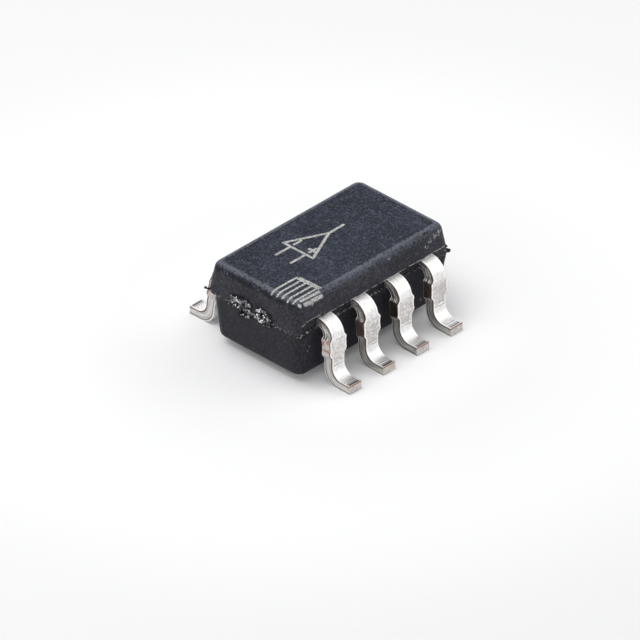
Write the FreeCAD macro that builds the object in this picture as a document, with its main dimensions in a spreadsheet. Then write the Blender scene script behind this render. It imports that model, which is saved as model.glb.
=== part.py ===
import FreeCAD, Part
import os

import Sketcher

# An operational amplifier in a small moulded surface-mount package with eight gull-wing leads.
# Millimetres. X runs along the body, Z is up, and the origin lies on the seating plane, at the
# centre of the lead pattern. Leads 1 to 4 stand along -Y from -X to +X, leads 5 to 8 along +Y
# from +X back to -X. Both mould halves sit a little off the lead pattern, as moulded parts do.

SIZES = {
    # Lead frame strip and its forming
    "LeadPitch": 0.65,
    "LeadWidth": 0.24,
    "LeadThickness": 0.125,
    "LeadSpan": 2.82,
    "FootReach": 0.31,
    "ShoulderHeight": 0.965,
    "UpperBendRadius": 0.125,
    "LowerBendRadius": 0.125,
    # Remains of the bar that joined the leads until trimming
    "StubWidth": 0.32,
    "StubHeight": 0.235,
    "StubMiddle": 0.61,
    "StubCorner": 0.03,
    # Ends of the leads inside the resin
    "LockInset": 0.10,
    "LockLength": 0.09,
    "LockWidth": 0.38,
    "FingerWidth": 0.27,
    "TipWidth": 0.20,
    "FingerGap": 0.10,
    "CornerJog": 0.07,
    # Resin halves
    "BodyTop": 1.30,
    "BodyStandoff": 0.095,
    "ShankStandoff": 0.27,
    "UpperOverhang": 0.036,
    "UpperLength": 2.96,
    "UpperShift": -0.025,
    "UpperDraft": 8.0,
    "LowerLength": 2.863,
    "LowerShift": -0.012,
    "LowerDraft": 4.2,
    "UpperCornerRadius": 0.15,
    "LowerCornerRadius": 0.16,
    "UpperRimRadius": 0.125,
    "LowerRimRadius": 0.11,
    "WebRecess": 0.02,
    "WebEndInset": 0.10,
    # Rough patch where the resin runner was broken off
    "GateWidth": 0.84,
    "GateRise": 0.15,
    "GateOffset": 0.10,
    "GateProud": 0.025,
    "GateRoot": 0.10,
    # Chip and what carries it
    "DieLength": 0.95,
    "DieWidth": 0.56,
    "DieThickness": 0.15,
    "AttachThickness": 0.015,
    "AttachMargin": 0.03,
    "PadMargin": 0.09,
    "PadDownset": 0.13,
    "TieBarWidth": 0.16,
    "TieBarRamp": 0.15,
    "TieBarProud": 0.008,
    # Bond wires
    "WireDiameter": 0.025,
    "BallDiameter": 0.06,
    "BallHeight": 0.018,
    "LoopHeight": 0.10,
    "LoopBevel": 0.04,
    "BondInset": 0.055,
    "BondStep": 0.20,
    "StitchInset": 0.09,
}

# Lengths that several pieces share, as formulas of the sheet
PARTING = "(Sizes.ShoulderHeight - Sizes.LeadThickness)"
SHANK_FACE = "(Sizes.LeadSpan / 2 - Sizes.FootReach)"
LOWER_SIDE = f"({SHANK_FACE} - Sizes.ShankStandoff)"
UPPER_SIDE = f"({LOWER_SIDE} + Sizes.UpperOverhang)"
UPPER_CENTRE = f"({SHANK_FACE} - Sizes.UpperBendRadius - Sizes.LeadThickness)"
UPPER_TANGENT = "(Sizes.ShoulderHeight - Sizes.LeadThickness - Sizes.UpperBendRadius)"
LOWER_CENTRE = f"({SHANK_FACE} + Sizes.LowerBendRadius)"
LOWER_TANGENT = "(Sizes.LeadThickness + Sizes.LowerBendRadius)"
LOCK_OUTER = f"({LOWER_SIDE} - Sizes.LockInset)"
PAD_HALF_WIDTH = "(Sizes.DieWidth / 2 + Sizes.PadMargin)"
PAD_HALF_LENGTH = "(Sizes.DieLength / 2 + Sizes.PadMargin)"
PAD_TOP = "(Sizes.ShoulderHeight - Sizes.PadDownset)"
DIE_BOTTOM = f"({PAD_TOP} + Sizes.AttachThickness)"
DIE_TOP = f"({DIE_BOTTOM} + Sizes.DieThickness)"
FINGER_TIP = f"({PAD_HALF_WIDTH} + Sizes.FingerGap)"


def make_sheet(doc):
    """Writes the driving dimensions into a spreadsheet with aliases."""
    sheet = doc.addObject("Spreadsheet::Sheet", "Sizes")
    for row, (alias, value) in enumerate(SIZES.items(), start=1):
        sheet.set(f"A{row}", alias)
        sheet.set(f"B{row}", str(value))
        sheet.setAlias(f"B{row}", alias)
    doc.recompute()
    return sheet


def new_body(doc, label):
    """A PartDesign body under the label that names its file."""
    body = doc.addObject("PartDesign::Body", label)
    body.Label = label
    return body


def new_sketch(body, name, role, offset="0"):
    """A sketch on one of the body's own origin planes, moved along that plane's normal."""
    planes = {feature.Role: feature for feature in body.Origin.OriginFeatures}
    sketch = body.newObject("Sketcher::SketchObject", f"{body.Name}_{name}")
    sketch.AttachmentSupport = (planes[role], [""])
    sketch.MapMode = "FlatFace"
    sketch.setExpression("AttachmentOffset.Base.z", offset)
    return sketch


def point(sketch, corner):
    """The place that a pair of formulas gives."""
    across, along = (float(sketch.evalExpression(formula)) for formula in corner)
    return FreeCAD.Vector(across, along, 0)


def tie(sketch, kind, places, formula):
    """Adds one dimension and binds it to a formula of the sheet."""
    value = float(sketch.evalExpression(formula))
    index = sketch.addConstraint(Sketcher.Constraint(kind, *places, value))
    sketch.setExpression(f"Constraints[{index}]", formula)


def draw_outline(sketch, corners, arcs=None):
    """Draws a closed outline through corners given as pairs of formulas.

    arcs maps a corner's number to (centre, radius formula, turn): the side that starts there is
    an arc about that centre, anticlockwise when turn is 1.
    """
    arcs = arcs or {}
    places = [point(sketch, corner) for corner in corners]
    count = len(places)
    starts = []
    ends = []
    for index, start in enumerate(places):
        end = places[(index + 1) % count]
        if index in arcs:
            centre, radius, turn = arcs[index]
            middle = point(sketch, centre)
            first, last = (start, end) if turn > 0 else (end, start)
            circle = Part.Circle(middle, FreeCAD.Vector(0, 0, 1), (start - middle).Length)
            side = Part.ArcOfCircle(circle, circle.parameter(first), circle.parameter(last))
            geometry = sketch.addGeometry(side, False)
            starts.append((geometry, 1 if turn > 0 else 2))
            ends.append((geometry, 2 if turn > 0 else 1))
        else:
            geometry = sketch.addGeometry(Part.LineSegment(start, end), False)
            starts.append((geometry, 1))
            ends.append((geometry, 2))
    for index, corner in enumerate(corners):
        sketch.addConstraint(Sketcher.Constraint("Coincident", *ends[index - 1], *starts[index]))
        tie(sketch, "DistanceX", (-1, 1, *starts[index]), corner[0])
        tie(sketch, "DistanceY", (-1, 1, *starts[index]), corner[1])
    for index, (_, radius, _) in arcs.items():
        tie(sketch, "Radius", (starts[index][0],), radius)


def draw_rectangle(sketch, left, right, bottom, top):
    """Draws a plain rectangle between four formulas."""
    draw_outline(sketch, [(left, bottom), (right, bottom), (right, top), (left, top)])


def draw_circle(sketch, radius):
    """Draws a circle about the sketch's origin."""
    value = float(sketch.evalExpression(radius))
    circle = Part.Circle(FreeCAD.Vector(), FreeCAD.Vector(0, 0, 1), value)
    geometry = sketch.addGeometry(circle, False)
    sketch.addConstraint(Sketcher.Constraint("Coincident", geometry, 3, -1, 1))
    tie(sketch, "Radius", (geometry,), radius)


def draw_route(sketch, corners):
    """Draws an open run of straight sides through corners given as pairs of formulas."""
    places = [point(sketch, corner) for corner in corners]
    sides = [sketch.addGeometry(Part.LineSegment(start, end), False)
             for start, end in zip(places, places[1:])]
    ends = [(side, 1) for side in sides] + [(sides[-1], 2)]
    for before, after in zip(sides, sides[1:]):
        sketch.addConstraint(Sketcher.Constraint("Coincident", before, 2, after, 1))
    for end, corner in zip(ends, corners):
        tie(sketch, "DistanceX", (-1, 1, *end), corner[0])
        tie(sketch, "DistanceY", (-1, 1, *end), corner[1])


def add_pad(body, sketch, length, midplane=False, reverse=False, draft=None):
    """Pads a sketch. With a draft the sides lean inwards, away from the sketch."""
    pad = body.newObject("PartDesign::Pad", f"{sketch.Name}_pad")
    pad.Profile = sketch
    pad.Midplane = midplane
    pad.Reversed = reverse
    pad.setExpression("Length", length)
    if draft:
        pad.setExpression("TaperAngle", f"-{draft}")
    return pad


def add_pocket(body, sketch, length, reverse=False):
    """Pockets a sketch to a stated depth."""
    pocket = body.newObject("PartDesign::Pocket", f"{sketch.Name}_pocket")
    pocket.Profile = sketch
    pocket.Reversed = reverse
    pocket.setExpression("Length", length)
    return pocket


def make_lead(doc, number):
    """One gull-wing lead: a punched strip bent twice, with its locked finger inside the resin."""
    column = number - 1 if number <= 4 else 8 - number
    across = 1 if number > 4 else -1
    body = new_body(doc, f"lead_{number}")

    # Side view of the strip, from the locking ears out to the toe, +Y outwards
    profile = new_sketch(body, "profile", "YZ_Plane")
    corners = [
        (LOCK_OUTER, PARTING),
        (UPPER_CENTRE, PARTING),
        (f"{SHANK_FACE} - Sizes.LeadThickness", UPPER_TANGENT),
        (f"{SHANK_FACE} - Sizes.LeadThickness", LOWER_TANGENT),
        (LOWER_CENTRE, "0"),
        ("Sizes.LeadSpan / 2", "0"),
        ("Sizes.LeadSpan / 2", "Sizes.LeadThickness"),
        (LOWER_CENTRE, "Sizes.LeadThickness"),
        (SHANK_FACE, LOWER_TANGENT),
        (SHANK_FACE, UPPER_TANGENT),
        (UPPER_CENTRE, "Sizes.ShoulderHeight"),
        (LOCK_OUTER, "Sizes.ShoulderHeight"),
    ]
    upper = (UPPER_CENTRE, UPPER_TANGENT)
    lower = (LOWER_CENTRE, LOWER_TANGENT)
    arcs = {
        1: (upper, "Sizes.UpperBendRadius", -1),
        3: (lower, "Sizes.LowerBendRadius + Sizes.LeadThickness", 1),
        7: (lower, "Sizes.LowerBendRadius", -1),
        9: (upper, "Sizes.UpperBendRadius + Sizes.LeadThickness", 1),
    }
    draw_outline(profile, corners, arcs)
    add_pad(body, profile, "Sizes.LeadWidth", midplane=True)

    # Cut ends of the bar between the leads, level with the shank's faces
    stub = new_sketch(body, "stub", "XZ_Plane", f"-{SHANK_FACE}")
    half = "Sizes.StubWidth / 2"
    low = "Sizes.StubMiddle - Sizes.StubHeight / 2"
    high = "Sizes.StubMiddle + Sizes.StubHeight / 2"
    draw_outline(stub, [
        (f"-{half} + Sizes.StubCorner", low),
        (f"{half} - Sizes.StubCorner", low),
        (half, f"{low} + Sizes.StubCorner"),
        (half, f"{high} - Sizes.StubCorner"),
        (f"{half} - Sizes.StubCorner", high),
        (f"-{half} + Sizes.StubCorner", high),
        (f"-{half}", f"{high} - Sizes.StubCorner"),
        (f"-{half}", f"{low} + Sizes.StubCorner"),
    ])
    add_pad(body, stub, "Sizes.LeadThickness")

    # Plan of the finger: locking ears, then a taper to the tip that takes the bond wire
    finger = new_sketch(body, "finger", "XY_Plane", PARTING)
    inwards = across * (1 if column < 2 else -1)
    jog = f"{inwards} * Sizes.CornerJog" if column in (0, 3) else "0"
    inner = f"{LOCK_OUTER} - Sizes.LockLength"
    draw_outline(finger, [
        ("-Sizes.LockWidth / 2", LOCK_OUTER),
        ("-Sizes.LockWidth / 2", inner),
        ("-Sizes.FingerWidth / 2", inner),
        (f"{jog} - Sizes.TipWidth / 2", FINGER_TIP),
        (f"{jog} + Sizes.TipWidth / 2", FINGER_TIP),
        ("Sizes.FingerWidth / 2", inner),
        ("Sizes.LockWidth / 2", inner),
        ("Sizes.LockWidth / 2", LOCK_OUTER),
    ])
    add_pad(body, finger, "Sizes.LeadThickness")

    turn = 0 if across > 0 else 180
    body.Placement.Rotation = FreeCAD.Rotation(FreeCAD.Vector(0, 0, 1), turn)
    body.setExpression("Placement.Base.x", f"{column - 1.5} * Sizes.LeadPitch")
    return body


def make_die_pad(doc):
    """The paddle under the chip, set down below the leads, with a formed tie bar to each end."""
    body = new_body(doc, "die_pad")
    paddle = new_sketch(body, "paddle", "XY_Plane", f"{PAD_TOP} - Sizes.LeadThickness")
    draw_rectangle(paddle, f"-{PAD_HALF_LENGTH}", PAD_HALF_LENGTH, f"-{PAD_HALF_WIDTH}", PAD_HALF_WIDTH)
    add_pad(body, paddle, "Sizes.LeadThickness")
    end = "Sizes.UpperLength / 2 + Sizes.TieBarProud"
    for name, way in (("front_bar", 1), ("back_bar", -1)):
        bar = new_sketch(body, name, "XZ_Plane")
        start = f"{way} * {PAD_HALF_LENGTH}"
        top_of_ramp = f"{way} * ({PAD_HALF_LENGTH} + Sizes.TieBarRamp)"
        stop = f"Sizes.UpperShift + {way} * ({end})"
        corners = [
            (start, f"{PAD_TOP} - Sizes.LeadThickness"),
            (top_of_ramp, PARTING),
            (stop, PARTING),
            (stop, "Sizes.ShoulderHeight"),
            (top_of_ramp, "Sizes.ShoulderHeight"),
            (start, PAD_TOP),
        ]
        draw_outline(bar, corners)
        add_pad(body, bar, "Sizes.TieBarWidth", midplane=True)
    return body


def make_block(doc, label, length, width, bottom, height):
    """A flat rectangular piece centred over the origin."""
    body = new_body(doc, label)
    plan = new_sketch(body, "plan", "XY_Plane", bottom)
    draw_rectangle(plan, f"-({length}) / 2", f"({length}) / 2", f"-({width}) / 2", f"({width}) / 2")
    add_pad(body, plan, height)
    return body


def make_bond_wire(doc, number):
    """A fine wire from a ball on the chip, over a loop, down to its finger's tip."""
    column = number - 1 if number <= 4 else 8 - number
    side = 1 if number > 4 else -1
    end = 1 if column > 1 else -1
    corner = column in (0, 3)
    step = "0" if corner else "Sizes.BondStep"
    jog = "Sizes.CornerJog" if corner else "0"
    ball_x = f"{end} * (Sizes.DieLength / 2 - Sizes.BondInset - {step})"
    ball_y = f"{side} * (Sizes.DieWidth / 2 - Sizes.BondInset)"
    stitch_x = f"({column - 1.5} * Sizes.LeadPitch - {end} * {jog})"
    stitch_y = f"{side} * ({FINGER_TIP} + Sizes.StitchInset)"
    reach = f"sqrt(({stitch_x} - {ball_x}) ^ 2 + ({stitch_y} - {ball_y}) ^ 2)"
    drop = f"({DIE_TOP} - Sizes.ShoulderHeight)"

    # In the wire's own plane: up from the ball, over a kinked neck, straight down to the finger
    body = new_body(doc, f"bond_wire_{number}")
    ball = new_sketch(body, "ball", "XY_Plane")
    draw_circle(ball, "Sizes.BallDiameter / 2")
    add_pad(body, ball, "Sizes.BallHeight")
    route = new_sketch(body, "route", "XZ_Plane")
    draw_route(route, [
        ("0", "0"),
        ("0", "Sizes.LoopHeight - Sizes.LoopBevel"),
        ("Sizes.LoopBevel", "Sizes.LoopHeight"),
        (reach, f"-{drop}"),
    ])
    section = new_sketch(body, "section", "XY_Plane")
    draw_circle(section, "Sizes.WireDiameter / 2")
    wire = body.newObject("PartDesign::AdditivePipe", f"{body.Name}_wire")
    wire.Profile = section
    wire.Spine = route
    wire.Transition = "Right corner"

    # The wire's end is pressed flat on the finger
    foot = new_sketch(body, "foot", "XY_Plane", f"-{drop}")
    pressed = "3 * Sizes.WireDiameter"
    draw_rectangle(foot, f"{reach} - {pressed}", f"{reach} + {pressed}", f"-{pressed}", pressed)
    add_pocket(body, foot, "Sizes.WireDiameter * 2")

    body.setExpression("Placement.Base.x", ball_x)
    body.setExpression("Placement.Base.y", ball_y)
    body.setExpression("Placement.Base.z", DIE_TOP)
    body.setExpression("Placement.Rotation.Angle", f"atan2({stitch_y} - {ball_y}; {stitch_x} - {ball_x})")
    return body


def edges_between(shape, low, high):
    """Names of a shape's edges that reach exactly from one height to another."""
    names = []
    for index, edge in enumerate(shape.Edges, start=1):
        box = edge.BoundBox
        if abs(box.ZMin - low) < 1e-4 and abs(box.ZMax - high) < 1e-4:
            names.append(f"Edge{index}")
    return names


def add_fillet(body, name, low, high, radius):
    """Rounds the edges that reach between two heights."""
    body.Document.recompute()
    base = body.Tip
    fillet = body.newObject("PartDesign::Fillet", f"{body.Name}_{name}")
    fillet.Base = (base, edges_between(base.Shape, low, high))
    fillet.setExpression("Radius", radius)
    body.Document.recompute()


def make_mould_half(doc, sheet, name, side, face, height, reverse):
    """One drafted half of the resin, padded away from the parting plane, its edges rounded."""
    body = new_body(doc, f"{name.lower()}_half")
    length, shift = (f"Sizes.{name}{size}" for size in ("Length", "Shift"))
    plan = new_sketch(body, "plan", "XY_Plane", PARTING)
    draw_rectangle(plan, f"{shift} - {length} / 2", f"{shift} + {length} / 2", f"-{side}", side)
    add_pad(body, plan, height, reverse=reverse, draft=f"Sizes.{name}Draft")
    parting = sheet.ShoulderHeight - sheet.LeadThickness
    low, high = sorted((parting, face))
    add_fillet(body, "corners", low, high, f"Sizes.{name}CornerRadius")
    add_fillet(body, "rim", face, face, f"Sizes.{name}RimRadius")
    return body


def make_resin(doc, sheet):
    """The moulded block: two drafted halves that meet at the lead frame, slightly out of line."""
    upper = make_mould_half(doc, sheet, "Upper", UPPER_SIDE, sheet.BodyTop,
                            f"Sizes.BodyTop - {PARTING}", False)
    lower = make_mould_half(doc, sheet, "Lower", LOWER_SIDE, sheet.BodyStandoff,
                            f"{PARTING} - Sizes.BodyStandoff", True)

    # Between the leads the resin was held back by the trimmed bar, so both long sides step in
    web_face = f"({LOWER_SIDE} - Sizes.WebRecess)"
    web_end = "(Sizes.UpperLength / 2 - Sizes.WebEndInset)"
    beyond = f"({UPPER_SIDE} + Sizes.WebRecess)"
    for name, bottom, top in (("near_web", f"-{beyond}", f"-{web_face}"), ("far_web", web_face, beyond)):
        web = new_sketch(upper, name, "XY_Plane", PARTING)
        draw_rectangle(web, f"Sizes.UpperShift - {web_end}", f"Sizes.UpperShift + {web_end}", bottom, top)
        add_pocket(upper, web, "Sizes.LeadThickness", reverse=True)
    add_gate_scar(upper, "Upper", (0.7, 1.0, 0.9, 0.85, 1.0, 0.75))
    add_gate_scar(lower, "Lower", (0.45, 0.85, 0.6, 0.5, 1.0, 0.7))
    resin = doc.addObject("Part::Fuse", "resin_block")
    resin.Base = upper
    resin.Tool = lower
    return resin


def add_gate_scar(body, half_name, rises):
    """Pads one half of the broken runner on the -X end, a lumpy strip along the parting line."""
    sign = "+" if half_name == "Upper" else "-"
    face = f"Sizes.{half_name}Shift - Sizes.{half_name}Length / 2 - Sizes.GateProud"
    gate = new_sketch(body, "gate", "YZ_Plane", face)
    half = "Sizes.GateWidth / 2"
    corners = [(f"Sizes.GateOffset + {half}", PARTING), (f"Sizes.GateOffset - {half}", PARTING)]
    for index, rise in enumerate(rises):
        share = -1 + 2 * (index + 0.5) / len(rises)
        edge = f"{PARTING} {sign} {rise} * Sizes.GateRise"
        corners.append((f"Sizes.GateOffset + {share} * {half}", edge))
    draw_outline(gate, corners)
    add_pad(body, gate, "Sizes.GateProud + Sizes.GateRoot")


def make_moulded_body(doc, resin, embedded):
    """The resin block with the exact hollow that everything moulded into it fills."""
    filling = doc.addObject("Part::Compound", "embedded_pieces")
    filling.Links = embedded
    cut = doc.addObject("Part::Cut", "moulded_body")
    cut.Label = "moulded_body"
    cut.Base = resin
    cut.Tool = filling
    return cut


def check_and_export(doc, pieces):
    """Stops on any failed object or bad shape, then writes one STEP file for each piece."""
    for item in doc.Objects:
        if "Invalid" in item.State or "Error" in item.State:
            raise RuntimeError(f"{item.Name} failed: {item.State}")
    for piece in pieces:
        shape = piece.Shape
        if shape.isNull() or not shape.isValid() or len(shape.Solids) != 1:
            raise RuntimeError(f"{piece.Label} is not one valid solid")
    os.makedirs("parts", exist_ok=True)
    for piece in pieces:
        piece.Shape.exportStep(f"parts/{piece.Label}.step")
        print(f"{piece.Label}: {piece.Shape.Volume:.5f} mm3")


def main():
    doc = FreeCAD.newDocument("operational_amplifier")
    sheet = make_sheet(doc)
    leads = [make_lead(doc, number) for number in range(1, 9)]
    die_pad = make_die_pad(doc)
    margin = "2 * Sizes.AttachMargin"
    attach = make_block(doc, "die_attach", f"Sizes.DieLength + {margin}", f"Sizes.DieWidth + {margin}",
                        PAD_TOP, "Sizes.AttachThickness")
    die = make_block(doc, "silicon_die", "Sizes.DieLength", "Sizes.DieWidth",
                     DIE_BOTTOM, "Sizes.DieThickness")
    wires = [make_bond_wire(doc, number) for number in range(1, 9)]
    doc.recompute()
    embedded = leads + [die_pad, attach, die] + wires
    resin = make_resin(doc, sheet)
    moulded_body = make_moulded_body(doc, resin, embedded)
    doc.recompute()
    check_and_export(doc, [moulded_body] + embedded)


main()
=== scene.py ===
import math

import bpy
import numpy as np
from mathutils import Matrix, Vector, noise


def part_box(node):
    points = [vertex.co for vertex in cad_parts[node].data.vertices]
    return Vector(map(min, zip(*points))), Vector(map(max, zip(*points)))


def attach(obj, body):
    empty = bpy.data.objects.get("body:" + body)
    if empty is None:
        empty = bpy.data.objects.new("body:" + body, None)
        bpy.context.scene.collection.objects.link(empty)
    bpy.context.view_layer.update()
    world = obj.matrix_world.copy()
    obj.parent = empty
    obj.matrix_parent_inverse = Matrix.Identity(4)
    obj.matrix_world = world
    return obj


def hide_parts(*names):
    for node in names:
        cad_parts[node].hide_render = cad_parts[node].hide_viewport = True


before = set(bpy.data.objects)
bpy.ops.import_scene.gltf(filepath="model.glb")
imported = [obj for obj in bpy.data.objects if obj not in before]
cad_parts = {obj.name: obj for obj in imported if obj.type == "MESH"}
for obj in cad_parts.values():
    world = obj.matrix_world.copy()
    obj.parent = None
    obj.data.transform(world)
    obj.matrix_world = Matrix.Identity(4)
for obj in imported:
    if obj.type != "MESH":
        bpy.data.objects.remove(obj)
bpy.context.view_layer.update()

# Moulded body. Black filled epoxy pressed round the lead frame in two mould halves, which draft
# away from the parting plane. The upper half is a little larger and sits a little towards -X.
# Between the leads the resin stopped at the bar that joined them, and left a dark glossy web.
MM = 0.001
body_low, body_high = (np.array(corner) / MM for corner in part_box("moulded_body"))
lead_low, lead_high = (np.array(corner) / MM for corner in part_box("lead_1"))
SHOULDER = lead_high[2]
LEAD_THICKNESS = 0.125
PARTING = SHOULDER - LEAD_THICKNESS
COLUMNS_ALONG = 170
COLUMNS_ACROSS = 112


class MouldHalf:
    """One drafted half of the resin: its outline at the parting plane and its flat face."""

    def __init__(self, left, right, side, face, draft, rim, corner):
        self.middle = (left + right) / 2
        self.half_length = (right - left) / 2
        self.side = side
        self.face = face
        self.draft = math.radians(draft)
        self.rim = rim
        self.corner = corner
        self.way = 1 if face > PARTING else -1
        self.rim_centre = face - self.way * rim
        self.tangent = self.rim_centre + self.way * rim * math.sin(self.draft)

    def inset(self, height):
        """How far the flank has leaned in at a height."""
        return abs(height - PARTING) * math.tan(self.draft)

    def flank(self, heights):
        """Height, inset and corner radius of each row on the flank."""
        return [(height, self.inset(height), self.corner) for height in heights]

    def rim_rows(self, rim_steps):
        """The same for the rows round the rim, up to the flat face."""
        made = []
        last = self.inset(self.tangent)
        centre = self.inset(self.rim_centre) + self.rim / math.cos(self.draft)
        for step in range(rim_steps + 1):
            angle = self.draft + (math.pi / 2 - self.draft) * step / rim_steps
            inset = centre - self.rim * math.cos(angle)
            height = self.rim_centre + self.way * self.rim * math.sin(angle)
            made.append((height, inset, self.corner - (inset - last)))
        return made


UPPER = MouldHalf(left=-1.505, right=body_high[0], side=0.866, face=body_high[2],
                  draft=8.0, rim=0.125, corner=0.15)
LOWER = MouldHalf(left=-1.4435, right=body_high[0] - 0.0355, side=0.83, face=body_low[2],
                  draft=4.2, rim=0.11, corner=0.16)
EDGE_DENSITY = 0.45


def outline_side(half_length, half_width, radius, count):
    """Points along the -Y side of a rounded rectangle, from corner middle to corner middle."""
    share = np.arange(count) / count
    share = share - EDGE_DENSITY * np.sin(2 * math.pi * share) / (2 * math.pi)
    half_arc = math.pi * radius / 4
    straight = 2 * (half_length - radius)
    run = share * (straight + 2 * half_arc)
    first = run < half_arc
    last = run > half_arc + straight
    turn = np.where(first, math.radians(225) + run / radius, math.radians(270))
    turn = np.where(last, math.radians(270) + (run - half_arc - straight) / radius, turn)
    centre = np.where(first, radius - half_length, np.where(last, half_length - radius, 0))
    along = np.where(first | last, centre + radius * np.cos(turn), radius - half_length + run - half_arc)
    across = radius - half_width + radius * np.sin(turn)
    return np.stack([along, across], axis=1)


def outline(half_length, half_width, radius):
    """A closed rounded rectangle, from the middle of its -X -Y corner round towards +X."""
    near = outline_side(half_length, half_width, radius, COLUMNS_ALONG)
    end = outline_side(half_width, half_length, radius, COLUMNS_ACROSS)
    turned = np.stack([-end[:, 1], end[:, 0]], axis=1)
    return np.concatenate([near, turned, -near, -turned])


def ring(half, row):
    """One row of the body's skin as points in space."""
    height, inset, radius = row
    flat = outline(half.half_length - inset, half.side - inset, radius)
    flat[:, 0] += half.middle
    return np.column_stack([flat, np.full(len(flat), height)])


def smooth(low, high, value):
    """Rises smoothly from 0 at low to 1 at high."""
    share = np.clip((value - low) / (high - low), 0, 1)
    return share * share * (3 - 2 * share)


# Rows are close together near the parting plane, where the runner broke off
DENSE, SPARSE = 0.0125, 0.03
EDGE_GAP, EDGE_ROUND = 0.0005, 0.004
WEB_SIDE = LOWER.side - 0.02
WEB_END = UPPER.half_length - 0.10
WEB_STEP = 0.035

lower_heights = np.concatenate([
    np.arange(PARTING - EDGE_ROUND, PARTING - 0.165, -DENSE),
    np.arange(PARTING - 0.18, LOWER.tangent + SPARSE / 2, -SPARSE),
])
band_heights = np.linspace(PARTING + EDGE_ROUND, SHOULDER - 0.002, 10)
upper_heights = np.concatenate([
    [SHOULDER + EDGE_GAP, SHOULDER + 0.005],
    np.arange(SHOULDER + 0.015, SHOULDER + 0.09, DENSE),
    np.arange(SHOULDER + 0.11, UPPER.tangent - SPARSE / 2, SPARSE),
])
lower_rows = LOWER.flank(lower_heights) + LOWER.rim_rows(9)
lower_edge = (PARTING - EDGE_GAP, EDGE_ROUND, LOWER.corner)
upper_edge = (PARTING + EDGE_GAP, EDGE_ROUND, UPPER.corner)
band_rows = [upper_edge] + UPPER.flank(band_heights)
upper_rows = UPPER.flank(upper_heights) + UPPER.rim_rows(11)

rings = [ring(LOWER, row) for row in reversed(lower_rows)] + [ring(LOWER, lower_edge)]
for row in band_rows:
    band = ring(UPPER, row)
    inside = 1 - smooth(WEB_END - 0.03, WEB_END, np.abs(band[:, 0] - UPPER.middle))
    on_side = np.abs(band[:, 1]) > WEB_SIDE - 0.01
    pulled = np.sign(band[:, 1]) * (WEB_SIDE + WEB_STEP * smooth(1.12, 1.30, band[:, 0]))
    band[:, 1] = np.where(on_side, band[:, 1] + (pulled - band[:, 1]) * inside, band[:, 1])
    rings.append(band)
rings += [ring(UPPER, row) for row in upper_rows]

# Lumps of the broken runner on the -X end: centre and half size across and upwards
SCAR_BLOBS = (
    (0.18, 0.920, 0.235, 0.112),
    (-0.20, 0.900, 0.190, 0.112),
    (0.14, 0.770, 0.130, 0.045),
    (-0.26, 0.795, 0.100, 0.040),
)

# Beyond this X lies the -X end, and the tip of the paddle's bar shows in the middle of it
END_LIMIT = -1.3
SCAR_FACE = UPPER.middle - UPPER.half_length - 0.008
SHARD, SCAR_LIFT = 0.045, 0.045
bar_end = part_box("die_pad")[0][0] / MM
BAR_HALF_WIDTH, BAR_LEVEL, BAR_HALF_HEIGHT = 0.125, 0.90, 0.09

# The shards' tilt is drawn with the noise module's seed, so that every run gives the same ones
SHARD_SEED = 3
noise.seed_set(SHARD_SEED)


def scar_mask(across, height):
    """How far inside the broken patch a point of the -X end is, from 0 to 1."""
    best = 0.0
    for middle, level, wide, tall in SCAR_BLOBS:
        ragged = 0.28 * noise.noise((across * 22, height * 22, 3.1))
        ragged += 0.16 * noise.noise((across * 60, height * 60, 8.4))
        reach = math.hypot((across - middle) / wide, (height - level) / tall) + ragged
        best = max(best, float(smooth(1.05, 0.82, reach)))
    return best


def shard_height(across, height):
    """Height of the split resin: flat shards, each tilted its own way."""
    place = Vector((across / SHARD, height / SHARD * 1.3, 0.4))
    nearest = noise.voronoi(place)[1][0]
    tilt = noise.noise_vector(nearest * 7.3)
    level = 0.5 + 0.9 * noise.noise(nearest * 5.7)
    fine = 0.25 * noise.noise(place * 3.1)
    return level + 1.3 * tilt.dot(place - nearest) + fine


skin = np.concatenate(rings)
per_ring = len(rings[0])
scar = np.zeros(len(skin))
for index, place in enumerate(skin):
    near_scar = place[0] < END_LIMIT and 0.66 < place[2] < 1.06 and abs(place[1]) < 0.72
    inside = scar_mask(place[1], place[2]) if near_scar else 0
    if inside > 0:
        scar[index] = inside
        broken = min(place[0], SCAR_FACE) - SCAR_LIFT * (shard_height(place[1], place[2]) - 0.35)
        skin[index, 0] += (broken - place[0]) * inside
over_bar = (np.abs(skin[:, 1]) < BAR_HALF_WIDTH) & (np.abs(skin[:, 2] - BAR_LEVEL) < BAR_HALF_HEIGHT)
over_bar &= skin[:, 0] < END_LIMIT
skin[over_bar, 0] = np.minimum(skin[over_bar, 0], bar_end - 0.006)

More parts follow.
